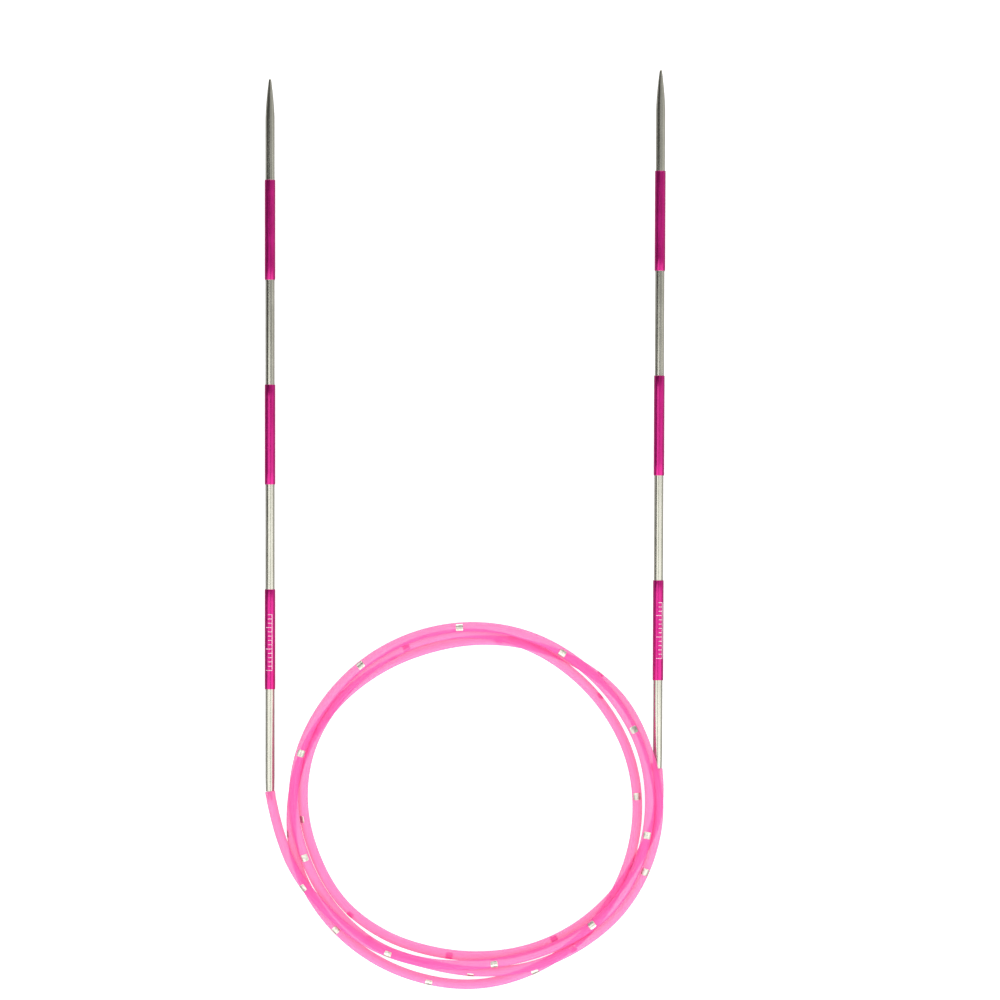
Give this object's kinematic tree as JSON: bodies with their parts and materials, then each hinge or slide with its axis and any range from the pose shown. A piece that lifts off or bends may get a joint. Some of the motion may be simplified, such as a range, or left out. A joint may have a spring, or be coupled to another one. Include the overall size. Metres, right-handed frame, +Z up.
{
  "type": "circular knitting needle",
  "caption": "Two slim metal knitting needles with coloured measuring bands, joined by one long flexible cord that lies in loose round turns.",
  "frame": {"origin": "on the surface it rests on, at the middle of the box round the two needles", "axes": "+X to the right needle, +Y towards the points, +Z up"},
  "size_m": [0.0935, 0.2142, 0.007],
  "materials": {
    "shaft": "drawn satin aluminium",
    "band": "glossy metallic magenta",
    "cord": "clear tinted pink",
    "foil": "silver foil",
    "steel": "plain"
  },
  "bodies": {
    "cord_loop": {"cord": "cord", "cord_marks": "foil"},
    "left_end": {"left_cord_end": "cord", "left_pin": "steel"},
    "left_needle": {"left_shaft": "shaft", "left_band_top": "band", "left_band_middle": "band", "left_band_low": "band"},
    "right_end": {"right_cord_end": "cord", "right_pin": "steel"},
    "right_needle": {"right_shaft": "shaft", "right_band_top": "band", "right_band_middle": "band", "right_band_low": "band"}
  },
  "joints": [
    {"name": "left_bend", "type": "hinge", "parent": "cord_loop", "child": "left_end", "pos_m": [-0.04455, -0.08901, 0.00125], "axis": [0, 0, 1], "range_deg": [-5, 40], "stiffness_Nm_per_rad": 0.01},
    {"name": "left_twist", "type": "hinge", "parent": "left_end", "child": "left_needle", "pos_m": [-0.0455, -0.0841, 0.00125], "axis": [0, 1, 0], "range_deg": [-180, 180], "stiffness_Nm_per_rad": 0.0005},
    {"name": "right_bend", "type": "hinge", "parent": "cord_loop", "child": "right_end", "pos_m": [0.04512, -0.08379, 0.00125], "axis": [0, 0, 1], "range_deg": [-40, 0], "stiffness_Nm_per_rad": 0.01},
    {"name": "right_twist", "type": "hinge", "parent": "right_end", "child": "right_needle", "pos_m": [0.0448, -0.0788, 0.00125], "axis": [0.0049, 1, 0], "range_deg": [-180, 180], "stiffness_Nm_per_rad": 0.0005}
  ]
}
